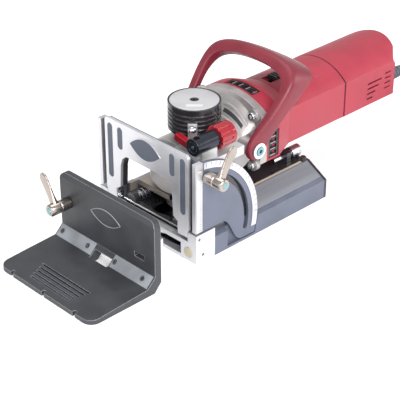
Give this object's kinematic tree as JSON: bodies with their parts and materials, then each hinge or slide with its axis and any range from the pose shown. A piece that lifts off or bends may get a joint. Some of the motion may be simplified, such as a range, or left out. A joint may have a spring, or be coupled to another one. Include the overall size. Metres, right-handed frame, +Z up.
{
  "type": "biscuit joiner",
  "caption": "Hand-held biscuit joiner: slotted base with a tilting fence, a motor unit that plunges a disc cutter, a bow handle, a depth turret, and a loose L-shaped stop square.",
  "frame": {"origin": "under the front edge of the base, in the middle of its width, on the surface the base stands on", "axes": "+X from the working face to the cable end, +Y to the operator's right, +Z up"},
  "size_m": [0.6705, 0.187, 0.1595],
  "materials": {
    "silver_alloy": "bead-blasted and bright along the edges",
    "slate_coat": "satin slate-grey coating",
    "brushed_plate": "brushed along the length",
    "dark_plate": "smooth dark coating",
    "bright_steel": "ground bright steel",
    "spring_steel": "drawn wire",
    "insert_grey": "fine satin",
    "grip_pad": "soft matt",
    "nickel": "nickel plate, slightly worn",
    "square_cast": "fine textured dark coating",
    "grey_cast": "tumbled grey casting",
    "red_shell": "fine grained moulding",
    "red_grip": "satin moulding",
    "red_control": "gloss moulding",
    "black_plastic": "satin black",
    "dark_anodised": "dark anodised",
    "laminations": "stacked sheet",
    "fan_plastic": "plain moulding",
    "carbon": "pressed carbon",
    "cord_rubber": "blue-grey satin rubber"
  },
  "bodies": {
    "base": {"base_plate": "dark_plate", "base_front": "silver_alloy", "end_block_left": "silver_alloy", "end_block_right": "silver_alloy", "side_beam_left": "slate_coat", "side_beam_right": "slate_coat", "side_plates": "brushed_plate", "blade_guard": "dark_plate", "base_cover": "dark_plate", "base_rear": "dark_plate", "guide_rods": "bright_steel", "return_springs": "spring_steel", "grip_pads": "grip_pad", "hinge_pins": "bright_steel", "clamp_plate": "dark_plate", "clamp_stud": "bright_steel"},
    "fence": {"fence_frame": "silver_alloy", "fence_back": "slate_coat", "fence_rails": "silver_alloy", "fence_inserts": "insert_grey", "quadrant": "slate_coat", "quadrant_scale": "silver_alloy", "height_scale": "silver_alloy"},
    "fence_lever": {"clamp_lever": "nickel"},
    "square": {"stop_square": "square_cast", "square_hook": "bright_steel"},
    "square_clamp": {"square_jaw": "bright_steel"},
    "square_handle": {"square_lever": "nickel"},
    "motor_unit": {"carriage": "dark_plate", "gear_housing": "grey_cast", "gear_screws": "bright_steel", "front_housing": "red_shell", "vent_grilles": "black_plastic", "rear_housing": "red_shell", "handle": "red_grip", "handle_screws": "bright_steel", "stator": "laminations", "brushes": "carbon", "bearings": "bright_steel", "turret_bolt": "dark_anodised", "drive_bracket": "grey_cast", "drive_sleeve": "dark_anodised", "strain_relief": "cord_rubber", "cord": "cord_rubber", "cord_coil": "cord_rubber", "plug": "cord_rubber"},
    "cutter": {"blade": "bright_steel", "spindle": "bright_steel", "blade_nut": "bright_steel", "bevel_gear": "bright_steel"},
    "armature": {"motor_shaft": "bright_steel", "armature_core": "laminations", "fan": "fan_plastic"},
    "depth_turret": {"turret": "black_plastic"},
    "index_pin": {"turret_pin": "bright_steel"},
    "height_lever": {"drive_lever": "red_control"},
    "height_knob": {"drive_knob": "red_control"},
    "switch": {"switch_slider": "black_plastic"},
    "rear_stop": {"stop_screw": "bright_steel"}
  },
  "joints": [
    {"name": "plunge", "type": "slide", "parent": "base", "child": "motor_unit", "axis": [-1, 0, 0], "range_m": [0, 0.02], "stiffness_N_per_m": 300, "springref_m": -0.02, "deforming": ["return_springs"]},
    {"name": "fence_tilt", "type": "hinge", "parent": "base", "child": "fence", "pos_m": [0.0035, 0, 0.028], "axis": [0, -1, 0], "range_deg": [0, 90]},
    {"name": "clamp_lever_turn", "type": "hinge", "parent": "base", "child": "fence_lever", "pos_m": [0.0135, -0.082, 0.0915], "axis": [0, 1, 0], "range_deg": [-60, 45]},
    {"name": "square_fit", "type": "slide", "parent": "fence", "child": "square", "axis": [0.6828, 0.1345, 0.7181], "range_m": [0, 0.07659]},
    {"name": "square_lever_turn", "type": "hinge", "parent": "square", "child": "square_handle", "pos_m": [-0.0704, 0.0448, 0.0456], "axis": [1, 0, 0], "range_deg": [0, 90]},
    {"name": "jaw_slide", "type": "slide", "parent": "square", "child": "square_clamp", "axis": [0, -1, 0], "range_m": [0, 0.0032]},
    {"name": "armature_spin", "type": "hinge", "parent": "motor_unit", "child": "armature", "pos_m": [0.2, 0, 0.08], "axis": [1, 0, 0], "continuous": true},
    {"name": "cutter_spin", "type": "hinge", "parent": "motor_unit", "child": "cutter", "pos_m": [0.051, 0, 0.01], "axis": [0, 0, 1], "continuous": true},
    {"name": "turret_turn", "type": "hinge", "parent": "motor_unit", "child": "depth_turret", "pos_m": [0.0648, 0, 0.11], "axis": [0, 0, 1], "continuous": true},
    {"name": "index_pin_pull", "type": "slide", "parent": "motor_unit", "child": "index_pin", "axis": [-0.735, -0.678, 0], "range_m": [0, 0.003], "stiffness_N_per_m": 600},
    {"name": "height_lever_turn", "type": "hinge", "parent": "motor_unit", "child": "height_lever", "pos_m": [0.0288, -0.0393, 0.106], "axis": [1, 0, 0], "range_deg": [0, 60]},
    {"name": "height_knob_turn", "type": "hinge", "parent": "motor_unit", "child": "height_knob", "pos_m": [0.063, -0.0393, 0.106], "axis": [1, 0, 0], "continuous": true},
    {"name": "switch_slide", "type": "slide", "parent": "motor_unit", "child": "switch", "axis": [1, 0, 0], "range_m": [0, 0.006]},
    {"name": "rear_stop_turn", "type": "hinge", "parent": "base", "child": "rear_stop", "pos_m": [0.177, -0.031, 0.042], "axis": [1, 0, 0], "range_deg": [-180, 180]}
  ],
  "couplings": [
    {"joint": "cutter_spin", "follows": "armature_spin", "ratio": 0.31818},
    {"joint": "jaw_slide", "follows": "square_lever_turn", "m_per_rad": 0.002035}
  ]
}
